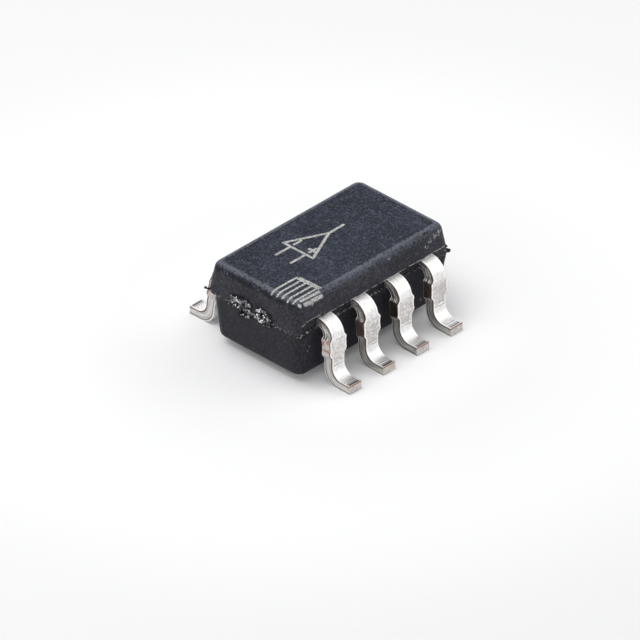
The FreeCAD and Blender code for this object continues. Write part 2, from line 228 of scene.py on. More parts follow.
# Small nicks and scuffs on the edges and flanks: place and size
SCUFFS = (
    ((-1.42, 0.395, 1.262), 0.028),
    ((-1.44, 0.50, 1.235), 0.03),
    ((-1.41, -0.02, 1.27), 0.032),
    ((-1.44, -0.07, 1.235), 0.026),
    ((-1.30, 0.60, 1.30), 0.03),
    ((0.30, -0.80, 1.225), 0.055),
    ((1.00, -0.83, 1.11), 0.07),
    ((1.08, -0.82, 1.16), 0.08),
    ((1.17, -0.815, 1.19), 0.08),
    ((1.26, -0.81, 1.21), 0.08),
    ((0.93, -0.80, 0.27), 0.07),
    ((0.86, -0.79, 0.20), 0.05),
    ((-1.19, -0.80, 1.22), 0.075),
    ((-1.27, -0.78, 1.24), 0.06),
    ((-1.33, -0.83, 0.80), 0.035),
    ((-1.28, -0.83, 0.83), 0.05),
    ((-1.25, -0.84, 0.91), 0.035),
    ((-1.33, -0.85, 1.00), 0.03),
    ((-1.23, -0.80, 0.565), 0.035),
    ((-1.26, -0.80, 0.505), 0.028),
    ((-1.32, -0.80, 0.625), 0.025),
    ((-1.42, -0.56, 0.645), 0.035),
    ((1.35, -0.83, 0.90), 0.06),
    ((-0.70, -0.84, 0.93), 0.05),
    ((1.38, 0.60, 1.10), 0.07),
    ((0.55, 0.80, 1.15), 0.06),
    ((-0.90, 0.83, 0.95), 0.08),
)
scuff = np.zeros(len(skin))
for place, size in SCUFFS:
    distance = np.linalg.norm(skin - np.array(place), axis=1)
    scuff = np.maximum(scuff, smooth(size, 0.3 * size, distance))
NICK = 0.006
for index in np.flatnonzero(scuff > 0.02):
    depth = max(0.0, noise.noise(Vector(skin[index]) * 38) + 0.05)
    outward = Vector((skin[index, 0] / 4, skin[index, 1], 0)).normalized()
    skin[index] -= np.array(outward) * NICK * scuff[index] * depth * 2

# The +X -Y corner of the lower half is fuller than the others near the parting plane
fuller = np.interp(skin[:, 2], (0.15, 0.55, 0.79, 0.86), (0, 0.017, 0.031, 0.028))
corner_x = LOWER.middle + LOWER.half_length - LOWER.inset(skin[:, 2])
corner_y = LOWER.inset(skin[:, 2]) - LOWER.side
near_corner = smooth(0.17, 0.066, np.hypot(skin[:, 0] - corner_x, skin[:, 1] - corner_y))
near_corner *= skin[:, 2] < PARTING
skin[:, 0] += fuller * near_corner
skin[:, 1] -= fuller * near_corner

# Beside lead 1 the resin pulled away with the bar, and the lip there climbs towards the lead
LIP_CLIMB = 0.048
beside = smooth(-1.43, -1.27, skin[:, 0]) * (skin[:, 0] < -0.97) * (skin[:, 1] < -0.78)
below = np.clip((skin[:, 2] - PARTING) / (SHOULDER - PARTING), 0, 1)
over = np.clip(1 - (skin[:, 2] - SHOULDER) / 0.13, 0, 1)
skin[:, 2] += LIP_CLIMB * beside * np.minimum(below, over)

# The split along the parting plane and the lower lip of the upper half are ragged with flash
RAGGED = 0.0035
seam_rows = range(len(lower_rows) - 1, len(lower_rows) + 2)
lip_rows = range(len(lower_rows) + 1 + len(band_rows), len(lower_rows) + 3 + len(band_rows))
for row in list(seam_rows) + list(lip_rows):
    for index in range(row * per_ring, (row + 1) * per_ring):
        place = Vector(skin[index])
        swing = noise.noise(place * 14) + 0.7 * noise.noise(place * 45)
        skin[index, 2] += RAGGED * swing
first_band = (len(lower_rows) + 1) * per_ring
after_band = first_band + len(band_rows) * per_ring
along_side = (np.abs(skin[:, 1]) > WEB_SIDE - 0.03) & (np.abs(skin[:, 0] - UPPER.middle) < WEB_END)
web = np.zeros(len(skin))
web[first_band:after_band] = 1
web *= along_side * smooth(1.26, 1.18, skin[:, 0])
# The lower edge of the upper half's lip between the leads, which gets a painted highlight
lip_sheen = np.zeros(len(skin))
lip_sheen[after_band:after_band + 2 * per_ring] = 1
lip_sheen *= along_side

# The rims carry a painted highlight. On the -X end the pale band is narrow, with a chipped groove below it
RIM_SHEEN = (0, 0.06, 0.12, 0.20, 0.30, 0.42, 0.56, 0.72, 0.90, 1.0, 0.95, 0)
RIM_SHEEN_END = (-0.3, -0.6, -0.9, -0.9, -0.3, 0.1, 0.5, 0.9, 1.0, 0.9, 0.6, 0)
rim = np.zeros(len(skin))
first_rim = len(skin) - len(RIM_SHEEN) * per_ring
for step in range(len(RIM_SHEEN)):
    row = slice(first_rim + step * per_ring, first_rim + (step + 1) * per_ring)
    on_end = smooth(-1.26, -1.36, skin[row, 0]) * smooth(0.80, 0.70, np.abs(skin[row, 1]))
    rim[row] = RIM_SHEEN[step] + (RIM_SHEEN_END[step] - RIM_SHEEN[step]) * on_end

# Painted shadow along the -X end below the parting plane, under the upper half's lip, a little narrower
# towards -Y
SHADOW_DROP, SHADOW_TAPER = 0.104, 0.012
at_end = skin[:, 0] < END_LIMIT
shadow_edge = PARTING - SHADOW_DROP + SHADOW_TAPER * smooth(0.20, -0.10, skin[:, 1])
lip_shadow = smooth(0, 0.015, skin[:, 2] - shadow_edge) * at_end * (1 - scar)
lip_shadow *= np.arange(len(skin)) < first_band - per_ring

# Crumbs cling to the parting plane all round, and on the -X end to the painted shadow band as well
crumb = np.zeros(len(skin))
crumb[first_band - 3 * per_ring:first_band + 2 * per_ring] = 1
ledge = slice(first_band + 2 * per_ring, first_band + 4 * per_ring)
crumb[ledge] = at_end[ledge]
crumb = np.maximum(crumb, lip_shadow)

# The flat faces are faintly wavy
WAVE, WAVES_PER_MM = 0.0012, 2.3


def cap_points(edge):
    """Fills a closed row with a grid, a blend of its four sides."""
    along, across = COLUMNS_ALONG, COLUMNS_ACROSS
    near = edge[np.arange(along + 1)]
    right = edge[along + np.arange(across + 1)]
    far = edge[2 * along + across - np.arange(along + 1)]
    left = edge[(2 * along + 2 * across - np.arange(across + 1)) % len(edge)]
    s = np.linspace(0, 1, along + 1)[:, None, None]
    t = np.linspace(0, 1, across + 1)[None, :, None]
    sides = (1 - t) * near[:, None] + t * far[:, None] + (1 - s) * left[None] + s * right[None]
    corners = (1 - s) * (1 - t) * near[0] + s * (1 - t) * near[-1] + (1 - s) * t * far[0] + s * t * far[-1]
    grid = sides - corners
    for i in range(1, along):
        for j in range(1, across):
            x, y, _ = grid[i, j]
            grid[i, j, 2] += WAVE * noise.noise((x * WAVES_PER_MM, y * WAVES_PER_MM, grid[i, j, 2]))
    return grid


def cap_faces(first_of_ring, first_inside, upwards):
    """Faces of a cap grid whose edge is an existing row and whose inside is new points."""
    along, across = COLUMNS_ALONG, COLUMNS_ACROSS
    count = 2 * (along + across)

    def number(i, j):
        if j == 0:
            return first_of_ring + i
        if i == along:
            return first_of_ring + along + j
        if j == across:
            return first_of_ring + 2 * along + across - i
        if i == 0:
            return first_of_ring + (2 * along + 2 * across - j) % count
        return first_inside + (i - 1) * (across - 1) + j - 1

    faces = []
    for i in range(along):
        for j in range(across):
            corners = [number(i, j), number(i + 1, j), number(i + 1, j + 1), number(i, j + 1)]
            faces.append(corners if upwards else corners[::-1])
    return faces


def tube_faces(rows, count):
    """Faces between successive closed rows of the same number of points."""
    faces = []
    for row in range(rows - 1):
        for column in range(count):
            after = (column + 1) % count
            low, high = row * count, (row + 1) * count
            faces.append([low + column, low + after, high + after, high + column])
    return faces


def make_piece(name, points, faces, marks=None):
    """A smooth mesh object from points in millimetres, with named values on its points."""
    mesh = bpy.data.meshes.new(name)
    mesh.from_pydata((np.asarray(points) * MM).tolist(), [], faces)
    for mark, values in (marks or {}).items():
        layer = mesh.attributes.new(mark, "FLOAT", "POINT")
        layer.data.foreach_set("value", np.asarray(values, dtype=np.float32))
    mesh.validate()
    mesh.polygons.foreach_set("use_smooth", [True] * len(mesh.polygons))
    piece = bpy.data.objects.new(name, mesh)
    bpy.context.scene.collection.objects.link(piece)
    return piece


top_inside = cap_points(skin[-per_ring:])[1:-1, 1:-1].reshape(-1, 3)
bottom_inside = cap_points(skin[:per_ring])[1:-1, 1:-1].reshape(-1, 3)
body_points = np.concatenate([skin, top_inside, bottom_inside])
body_faces = tube_faces(len(rings), per_ring)
body_faces += cap_faces(len(skin) - per_ring, len(skin), True)
body_faces += cap_faces(0, len(skin) + len(top_inside), False)
flat_part = np.zeros(len(body_points) - len(skin))
skin_marks = {
    "scar": scar, "scuff": scuff, "web": web, "lip_sheen": lip_sheen, "lip_shadow": lip_shadow, "crumb": crumb, "rim": rim,
}
skin_marks = {mark: np.concatenate([values, flat_part]) for mark, values in skin_marks.items()}
resin_body = make_piece("resin_body", body_points, body_faces, skin_marks)
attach(resin_body, "root")
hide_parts("moulded_body")


def tree_of(*values):
    """The node tree that holds the sockets among some values."""
    return next(value.id_data for value in values if isinstance(value, bpy.types.NodeSocket))


def fill(inputs, values):
    """Sets inputs to plain values, or joins them to other sockets."""
    for name, value in values.items():
        if isinstance(value, bpy.types.NodeSocket):
            value.id_data.links.new(value, inputs[name])
        else:
            inputs[name].default_value = value


def add_node(tree, kind, values=None, **settings):
    """A shader node with its settings and the values of its inputs."""
    made = tree.nodes.new(kind)
    for name, value in settings.items():
        setattr(made, name, value)
    fill(made.inputs, values or {})
    return made


def calc(operation, first, second=0.0, third=0.0, clamp=False):
    """The result of one Math node."""
    tree = tree_of(first, second, third)
    values = {0: first, 1: second, 2: third}
    return add_node(tree, "ShaderNodeMath", values, operation=operation, use_clamp=clamp).outputs[0]


def times(first, second):
    """Two values multiplied."""
    return calc("MULTIPLY", first, second)


def ramp(value, slope, start):
    """A value times a slope, plus a start."""
    return calc("MULTIPLY_ADD", value, slope, start)


def vector_calc(operation, first, second, output="Vector"):
    """One output of a Vector Math node."""
    values = {0: first, "Scale" if operation == "SCALE" else 1: second}
    tree = tree_of(first, second)
    return add_node(tree, "ShaderNodeVectorMath", values, operation=operation).outputs[output]


def rise(value, low, high):
    """A smooth step from 0 at low to 1 at high."""
    values = {"Value": value, "From Min": low, "From Max": high}
    made = add_node(tree_of(value), "ShaderNodeMapRange", values, interpolation_type="SMOOTHSTEP")
    return made.outputs["Result"]


def blend(share, first, second):
    """A mix of two colours, each a socket or its red, green and blue."""
    made = add_node(tree_of(share), "ShaderNodeMix", data_type="RGBA")
    inputs = {socket.name: socket for socket in made.inputs if socket.enabled}
    first, second = ((*value, 1) if isinstance(value, tuple) else value for value in (first, second))
    fill(inputs, {"Factor": share, "A": first, "B": second})
    return next(socket for socket in made.outputs if socket.enabled)


def paint(under, mask, share, pigment):
    """A colour with a coat of another one over it, as dense as a mask times a share."""
    return blend(times(mask, share), under, pigment)


def fractal(place, scale, detail=2.0, rough=0.5, twist=0.0):
    """Noise at a number of lumps per millimetre."""
    values = {"Vector": place, "Scale": scale, "Detail": detail, "Roughness": rough, "Distortion": twist}
    return add_node(tree_of(place), "ShaderNodeTexNoise", values).outputs["Fac"]


def patches(place, scale, low, high, detail=3.0, rough=0.6):
    """Soft-edged patches of that noise, where it passes from a low value to a high one."""
    return rise(fractal(place, scale, detail, rough), low, high)


def stretched(place, scale, turn=0.0):
    """Coordinates scaled along each axis, then turned about Y."""
    values = {"Vector": place, "Rotation": (0, turn, 0), "Scale": scale}
    return add_node(tree_of(place), "ShaderNodeMapping", values).outputs[0]


def read_marks(tree, names):
    """The named values that a mesh carries on its points."""
    kind = "ShaderNodeAttribute"
    return {name: add_node(tree, kind, attribute_name=name).outputs["Fac"] for name in names}


def new_group(name, inputs, outputs):
    """An empty shader group. An input is a number with its first value, or else a vector."""
    group = bpy.data.node_groups.new(name, "ShaderNodeTree")
    for label, value in inputs.items():
        kind = "NodeSocketVector" if value is None else "NodeSocketFloat"
        socket = group.interface.new_socket(label, in_out="INPUT", socket_type=kind)
        if value is not None:
            socket.default_value = value
    for label in outputs:
        group.interface.new_socket(label, in_out="OUTPUT", socket_type="NodeSocketFloat")
    return group, group.nodes.new("NodeGroupInput").outputs, group.nodes.new("NodeGroupOutput").inputs


def place_group(group, values):
    """Places a group in a material, with its own values, and gives its outputs."""
    made = tree_of(*values.values()).nodes.new("ShaderNodeGroup")
    made.node_tree = group
    fill(made.inputs, values)
    return made.outputs


def new_material(name):
    """A node material with a bare Principled shader, and its object coordinates in millimetres."""
    material = bpy.data.materials.new(name)
    material.use_nodes = True
    tree = material.node_tree
    place = add_node(tree, "ShaderNodeTexCoord").outputs["Object"]
    return material, tree, tree.nodes["Principled BSDF"].inputs, vector_calc("SCALE", place, 1 / MM)


def add_bump(height, distance, normal=None):
    """The normal of a surface raised by a height, with the distance in millimetres."""
    values = {"Height": height, "Distance": distance * MM}
    if normal is not None:
        values["Normal"] = normal
    return add_node(tree_of(height), "ShaderNodeBump", values).outputs["Normal"]


# Shared effect: fine grain with a few brighter specks, as on blasted, plated or sawn surfaces
grain, said, gives = new_group(
    "Fine grain", {"Vector": None, "Grain Size": 0.02, "Speck Share": 0.3}, ("Tone", "Specks", "Height"))
per_mm = calc("DIVIDE", 1.0, said["Grain Size"])
fine = fractal(said["Vector"], per_mm, 3.0, 0.7)
coarse = fractal(said["Vector"], times(per_mm, 0.28))
broad = fractal(said["Vector"], times(per_mm, 0.045))
mixed = calc("ADD", times(fine, 0.85), times(coarse, 0.15))
level = calc("SUBTRACT", 0.86, times(said["Speck Share"], 0.5))
peaks = ramp(fine, 0.8, times(coarse, 0.3))
specks = rise(peaks, calc("SUBTRACT", level, 0.08), calc("ADD", level, 0.08))
fill(gives, {"Tone": calc("ADD", mixed, ramp(broad, 0.2, -0.10)), "Specks": specks, "Height": mixed})


def grained(place, size, specks):
    """The grain in a material: its size in millimetres and its share of specks."""
    return place_group(grain, {"Vector": place, "Grain Size": size, "Speck Share": specks})


# Shared effect: flakes of exposed filler or plating inside a soft area
flakes, said, gives = new_group(
    "Flakes", {"Vector": None, "Flake Size": 0.02, "Area": 1.0, "Share": 0.3}, ("Mask", "Height"))
body_noise = fractal(said["Vector"], calc("DIVIDE", 1.0, said["Flake Size"]), 3.0, 0.65, 0.6)
level = calc("SUBTRACT", 0.80, times(said["Area"], said["Share"]))
mask = rise(body_noise, calc("SUBTRACT", level, 0.02), calc("ADD", level, 0.05))
fill(gives, {"Mask": times(mask, rise(said["Area"], 0.02, 0.2)), "Height": body_noise})


def flaked(place, size, area, share):
    """The flakes in a material: their size in millimetres, their area and their share of it."""
    return place_group(flakes, {"Vector": place, "Flake Size": size, "Area": area, "Share": share})


# One laser stroke seen from above: a straight line with round ends
stroke, said, gives = new_group(
    "Laser stroke", {"Vector": None, "Start": None, "Run": None, "Half Width": 0.02}, ("Mask",))
offset = vector_calc("SUBTRACT", said["Vector"], said["Start"])
reach = vector_calc("DOT_PRODUCT", offset, said["Run"], "Value")
whole = vector_calc("DOT_PRODUCT", said["Run"], said["Run"], "Value")
nearest = vector_calc("SCALE", said["Run"], calc("DIVIDE", reach, whole, clamp=True))
away = vector_calc("DISTANCE", offset, nearest, "Value")
fill(gives, {"Mask": rise(calc("SUBTRACT", away, said["Half Width"]), 0.005, -0.005)})

# Laser marks on the top, each from one point to another: a comb beside pin one, and the plain
# drawing sign of an amplifier near the middle
COMB_RIGHT = -0.945
COMB_BARS = ((-1.416, -0.298), (-1.412, -0.392), (-1.402, -0.483), (-1.412, -0.585), (-1.396, -0.678))
SIGN_BACK, SIGN_POINT = -0.46, 0.13
SIGN_LOW, SIGN_HIGH = -0.135, 0.415
SIGN_MIDDLE = (SIGN_LOW + SIGN_HIGH) / 2
SIGN_INPUTS = (SIGN_MIDDLE - 0.14, SIGN_MIDDLE + 0.14)
SIGN_WIRE = 0.28
SIGN_PLUS, SIGN_ARM = SIGN_BACK + 0.13, 0.062
COMB_HALF, SIGN_HALF = 0.0170, 0.0200
comb = [((left, row), (COMB_RIGHT, row)) for left, row in COMB_BARS]
comb += [
    ((COMB_RIGHT - 0.012, -0.335), (COMB_RIGHT, -0.69)),
    ((COMB_RIGHT + 0.026, -0.335), (COMB_RIGHT + 0.038, -0.70)),
    ((-1.314, -0.730), (-0.970, -0.744)),
    ((-1.300, -0.787), (-0.975, -0.794)),
    ((-1.376, -0.757), (-1.364, -0.768)),
]
sign = [
    ((SIGN_BACK, SIGN_LOW), (SIGN_BACK, SIGN_HIGH)),
    ((SIGN_BACK, SIGN_HIGH), (SIGN_POINT, SIGN_MIDDLE)),
    ((SIGN_BACK, SIGN_LOW), (SIGN_POINT, SIGN_MIDDLE)),
    ((SIGN_POINT, SIGN_MIDDLE), (SIGN_POINT + SIGN_WIRE, SIGN_MIDDLE)),
]
for level in SIGN_INPUTS:
    sign.append(((SIGN_BACK - SIGN_WIRE, level), (SIGN_BACK, level)))
    sign.append(((SIGN_PLUS - SIGN_ARM, level), (SIGN_PLUS + SIGN_ARM, level)))
sign.append(((SIGN_PLUS, SIGN_INPUTS[0] - SIGN_ARM), (SIGN_PLUS, SIGN_INPUTS[0] + SIGN_ARM)))

resin, tree, shader, place = new_material("Black moulding compound")
marks = read_marks(tree, skin_marks)
height = add_node(tree, "ShaderNodeSeparateXYZ", {0: place}).outputs["Z"]
wander = add_node(tree, "ShaderNodeTexNoise", {"Vector": place, "Scale": 60.0, "Detail": 1.0})
wander = vector_calc("SUBTRACT", wander.outputs["Color"], (0.5, 0.5, 0.5))
wander = vector_calc("MULTIPLY", wander, (0.016, 0.016, 0))
from_above = vector_calc("ADD", vector_calc("MULTIPLY", place, (1, 1, 0)), wander)
marked = None
for half, lines in ((COMB_HALF, comb), (SIGN_HALF, sign)):
    for start, end in lines:
        run = (end[0] - start[0], end[1] - start[1], 0)
        values = {"Vector": from_above, "Start": (*start, 0), "Run": run, "Half Width": half}
        mask = place_group(stroke, values)["Mask"]
        marked = mask if marked is None else calc("MAXIMUM", marked, mask)
marked = times(marked, rise(height, 1.20, 1.25))
beads = fractal(place, 62.0, 2.0, 0.6)
beaded = times(marked, rise(beads, 0.28, 0.44))

# The clean skin: a bluish top, greyer flanks, a lower half in painted shade, rims painted with a highlight
skin_grain = grained(place, 0.030, 0.33)
tone = rise(skin_grain["Tone"], 0.42, 0.64)
top_colour = blend(tone, (0.0030, 0.0046, 0.0110), (0.040, 0.048, 0.074))
side_colour = blend(tone, (0.0160, 0.0160, 0.0212), (0.043, 0.043, 0.054))
shaded_low_colour = blend(tone, (0.0100, 0.0100, 0.0140), (0.026, 0.026, 0.035))
SPECK_GREY, SHEEN_GREY = (0.125, 0.137, 0.170), (0.122, 0.128, 0.150)
GROOVE_BLACK = (0.003, 0.003, 0.004)
# Painted shade: the lower half is made darker, as in the shade of the upper half's lip and the leads
side_colour = blend(rise(height, 0.80, 0.86), shaded_low_colour, side_colour)
near_top = rise(height, 1.20, 1.285)
colour = blend(near_top, side_colour, top_colour)
colour = paint(colour, skin_grain["Specks"], ramp(near_top, 0.45, 0.15), SPECK_GREY)
# Painted highlight: the rims are lightened to a pale grey, where light would catch them
wear_and_sheen = calc("MULTIPLY", marks["rim"], rise(skin_grain["Tone"], 0.30, 0.56), clamp=True)
colour = paint(colour, wear_and_sheen, 0.9, SHEEN_GREY)
groove = times(patches(place, 11.0, 0.36, 0.50), rise(marks["rim"], -0.1, -0.7))
colour = paint(colour, groove, 0.75, GROOVE_BLACK)
laser_colour = blend(rise(beads, 0.34, 0.60), (0.20, 0.20, 0.19), (0.52, 0.52, 0.50))
colour = blend(beaded, colour, laser_colour)

# Damage: scuffs that open the pale filler, the broken patch with painted shade round it and painted
# light and shade on its shards, painted shadow under the lip on the -X end, and between the leads
# the scratched web with a painted highlight on the lip above it
SCUFF_PALE, CRUMB_PALE, LIP_HIGHLIGHT_GREY = (0.34, 0.34, 0.35), (0.33, 0.32, 0.32), (0.42, 0.41, 0.40)
SCAR_SHADE_BLACK, LIP_SHADOW_BLACK = (0.002, 0.002, 0.003), (0.002, 0.002, 0.0025)
SHARD_SHADE, SHARD_GREY, SHARD_GLINT = (0.006, 0.006, 0.008), (0.30, 0.30, 0.32), (0.85, 0.85, 0.87)
WEB_BLACK, WEB_SCRATCH = (0.014, 0.014, 0.016), (0.25, 0.25, 0.26)
scuffed = flaked(place, 0.024, marks["scuff"], 0.31)
colour = paint(colour, scuffed["Mask"], 0.75, SCUFF_PALE)
# Painted shade: a black ring round the broken patch, as below its raised edge
scar_edge_shade = times(rise(marks["scar"], 0.02, 0.25), rise(marks["scar"], 0.98, 0.70))
colour = paint(colour, scar_edge_shade, 0.9, SCAR_SHADE_BLACK)
# Painted light and shade: each shard is dark, grey or glinting white, like facets turned from or to the
# light
shards = add_node(tree, "ShaderNodeTexVoronoi", {"Vector": place, "Scale": 30.0})
shade = add_node(tree, "ShaderNodeSeparateColor", {0: shards.outputs["Color"]}).outputs[0]
shard_light_and_shade = blend(rise(shade, 0.45, 0.75), SHARD_SHADE, SHARD_GREY)
shard_light_and_shade = blend(rise(shade, 0.80, 0.92), shard_light_and_shade, SHARD_GLINT)
colour = paint(colour, rise(marks["scar"], 0.55, 0.9), 0.95, shard_light_and_shade)
# Painted shadow: a black band below the upper half's lip on the -X end
colour = paint(colour, marks["lip_shadow"], 0.92, LIP_SHADOW_BLACK)
crumbs = flaked(place, 0.030, marks["crumb"], 0.24)
colour = paint(colour, crumbs["Mask"], 0.75, CRUMB_PALE)
scratched = times(marks["web"], patches(stretched(place, (18, 1, 70), 0.9), 1.0, 0.58, 0.68))
colour = paint(colour, marks["web"], 0.7, WEB_BLACK)
colour = paint(colour, scratched, 0.5, WEB_SCRATCH)
# Painted highlight: a patchy pale line along the lip's lower edge between the leads
lip_highlight = times(marks["lip_sheen"], patches(place, 9.0, 0.38, 0.52))
colour = paint(colour, lip_highlight, 0.9, LIP_HIGHLIGHT_GREY)

glossy = calc("MAXIMUM", marks["scar"], marks["web"])
rough = calc("SUBTRACT", ramp(skin_grain["Tone"], 0.24, 0.40), times(glossy, 0.24))
rough = calc("ADD", rough, times(beaded, 0.3), clamp=True)
blasted = times(skin_grain["Height"], ramp(rise(height, 1.15, 1.28), 0.6, 0.4))
normal = add_bump(blasted, 0.012)
normal = add_bump(calc("SUBTRACT", 1.0, marked), 0.003, normal)
split = flaked(place, 0.050, marks["scar"], 0.30)
crazed = calc("ADD", split["Height"], times(shade, 0.6))
lumps = times(crazed, calc("MAXIMUM", marks["scar"], times(marks["web"], 0.3)))
normal = add_bump(lumps, 0.03, normal)
fill(shader, {"Base Color": colour, "Roughness": rough, "Specular IOR Level": 0.16, "Normal": normal})
resin_body.data.materials.append(resin)

# Corner flash. Slivers of resin squeezed out between the mould halves and torn off with them:
# one thread with a lump on its end at the -X +Y corner, two crumbs at the +X -Y corner.
SLIVER_SIDES = 10


def make_sliver(name, route, radii):
    """A bent thread of resin through a few points, with a thickness at each."""
    curve = bpy.data.curves.new(name, "CURVE")
    curve.dimensions = "3D"
    line = curve.splines.new("NURBS")
    line.points.add(len(route) - 1)
    for knot, place in zip(line.points, route):
        knot.co = (*place, 1)
    line.order_u = 3
    line.use_endpoint_u = True
    line.resolution_u = 8
    holder = bpy.data.objects.new(name, curve)
    path = [np.array(vertex.co) for vertex in bpy.data.meshes.new_from_object(holder).vertices]
    points = []
    for step, place in enumerate(path):
        before, after = path[max(step - 1, 0)], path[min(step + 1, len(path) - 1)]
        ahead = Vector(after - before).normalized()
        across = ahead.cross(Vector((0, 0, 1))).normalized()
        above = across.cross(ahead)
        share = step / (len(path) - 1) * (len(radii) - 1)
        radius = float(np.interp(share, range(len(radii)), radii))
        for side in range(SLIVER_SIDES):
            angle = 2 * math.pi * side / SLIVER_SIDES
            out = across * math.cos(angle) + above * math.sin(angle)
            lump = 1 + 0.35 * noise.noise((Vector(place) + out * radius) * 60)
            points.append(place + np.array(out) * radius * lump)
    faces = tube_faces(len(path), SLIVER_SIDES)
    faces.append(list(range(SLIVER_SIDES))[::-1])
    last = (len(path) - 1) * SLIVER_SIDES
    faces.append([last + side for side in range(SLIVER_SIDES)])
    bpy.data.objects.remove(holder)
    return make_piece(name, points, faces)


corner_thread = make_sliver(
    "corner_thread",
    [(-1.43, 0.80, 0.845), (-1.478, 0.822, 0.862), (-1.500, 0.817, 0.876),
     (-1.53, 0.825, 0.905), (-1.552, 0.828, 0.922)],
    [0.020, 0.017, 0.012, 0.010, 0.021, 0.006],
)
corner_crumb = make_sliver(
    "corner_crumb",
    [(1.39, -0.80, 0.858), (1.420, -0.838, 0.862), (1.434, -0.856, 0.852)],
    [0.024, 0.030, 0.030, 0.016],
)
side_crumb = make_sliver(
    "side_crumb",
    [(1.345, -0.82, 0.958), (1.368, -0.848, 0.956), (1.374, -0.856, 0.950)],
    [0.018, 0.020, 0.017, 0.010],
)
for sliver in (corner_thread, corner_crumb, side_crumb):
    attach(sliver, "root")
    sliver.data.materials.append(resin)

# Leads. Eight strips of copper alloy, punched out of one sheet and tin plated, then trimmed from
# the bar that joined them and bent into gull wings. The trimming leaves a ragged stub each side.
SHANK_OUT = 1.10
SHANK_IN = SHANK_OUT - 0.163
SHANK_IN_LOW = SHANK_OUT - 0.143
TOE = -lead_low[1]
TOE_OUTER, TOE_INNER = TOE - 0.005, TOE - 0.002
FINGER_TIP = 0.47
LOCK_INNER, LOCK_OUTER = 0.64, 0.73
BEND_START = 0.85
UPPER_OUTER = SHANK_OUT - BEND_START
LOWER_OUTER, LOWER_INNER = 0.17, 0.235
FOOT_TOP = 0.127
STUB_LOW, STUB_HIGH = 0.4825, 0.7075
HALF_STRIP, HALF_STUB = 0.121, 0.163
HALF_LOCK, HALF_FINGER, HALF_TIP = 0.19, 0.135, 0.10
CORNER_JOG = 0.07
LEAD_PITCH = 0.65
BURR = 0.010
LEAD_MARKS = ("sheared", "raw_edge", "cut", "run", "depth", "toe", "inward")

# Ridges pressed across the outer face by the forming tool: distance from the fingertip along
# the face, height and half width. The last six are waves on the foot, parallel to its toe.
RIDGES = (
    (0.755, 0.0040, 0.012), (0.785, -0.0020, 0.014), (1.150, 0.0040, 0.009), (1.172, -0.0030, 0.012),
    (1.490, -0.0040, 0.012), (1.514, 0.0030, 0.012), (1.531, -0.0020, 0.008), (1.549, 0.0020, 0.007),
    (1.567, -0.0012, 0.012), (1.586, 0.0010, 0.006),
)

# Lead 8 is bent: how far its outer part stands along X and outwards from its place
BENT_LEAD, BENT_BY = 8, (-0.06, 0.08)

# Shares of the section and steps outwards of the rows that round the toe and close it
TOE_ROWS = ((0.985, 0.004), (0.93, 0.0065), (0.6, 0.0065), (0.25, 0.0065))

# How dark the torn stubs of leads 1 to 8 are; the paler ones also get a painted reflection on their lower
# sides
STUB_DARKNESS = (0.0, 0.9, 1.0, 0.95, 0.75, 0.83, 0.91, 0.25)


def lead_sides():
    """Matching points of the lead's outer and inner faces, as (outwards, height) pairs."""
    outer, inner = [], []

    def straight(from_outer, to_outer, from_inner, to_inner, count):
        for share in np.arange(count) / count:
            outer.append(np.array(from_outer) + share * (np.array(to_outer) - from_outer))
            inner.append(np.array(from_inner) + share * (np.array(to_inner) - from_inner))

    def bend(outer_centre, outer_radii, inner_centre, inner_radii, start, stop, count):
        for share in np.arange(count) / count:
            angle = math.radians(start + share * (stop - start))
            way = np.array([math.cos(angle), math.sin(angle)])
            outer.append(np.array(outer_centre) + outer_radii * way)
            inner.append(np.array(inner_centre) + inner_radii * way)

    upper_centre = (BEND_START, SHOULDER - UPPER_OUTER)
    inner_radii = np.array([SHANK_IN - BEND_START, PARTING - upper_centre[1]])
    outer_foot = (SHANK_OUT + LOWER_OUTER, FOOT_TOP + LOWER_OUTER)
    inner_foot = (SHANK_IN_LOW + LOWER_INNER, LOWER_INNER)
    flat = ((FINGER_TIP, LOCK_INNER, 4), (LOCK_INNER, LOCK_OUTER, 10), (LOCK_OUTER, BEND_START, 8))
    for start, stop, count in flat:
        straight((start, SHOULDER), (stop, SHOULDER), (start, PARTING), (stop, PARTING), count)
    bend(upper_centre, np.full(2, UPPER_OUTER), upper_centre, inner_radii, 90, 0, 34)
    straight((SHANK_OUT, upper_centre[1]), (SHANK_OUT, outer_foot[1]),
             (SHANK_IN, upper_centre[1]), (SHANK_IN_LOW, inner_foot[1]), 50)
    bend(outer_foot, np.full(2, LOWER_OUTER), inner_foot, np.full(2, LOWER_INNER), 180, 270, 30)
    straight((outer_foot[0], FOOT_TOP), (TOE_OUTER, FOOT_TOP), (inner_foot[0], 0.0), (TOE_INNER, 0.0), 30)
    outer.append(np.array([TOE_OUTER, FOOT_TOP]))
    inner.append(np.array([TOE_INNER, 0.0]))
    return np.array(outer), np.array(inner)


def relief(run, across, seed):
    """How far the tool marks raise the outer face at a place along it."""
    raised = 0.0
    for place, height, half in RIDGES:
        swing = 0.016 * noise.noise((across * 6, seed, place * 9))
        swing += 0.004 * noise.noise((across * 40, seed, place))
        raised += height * math.exp(-((run - place - swing) / half) ** 2)
    return raised


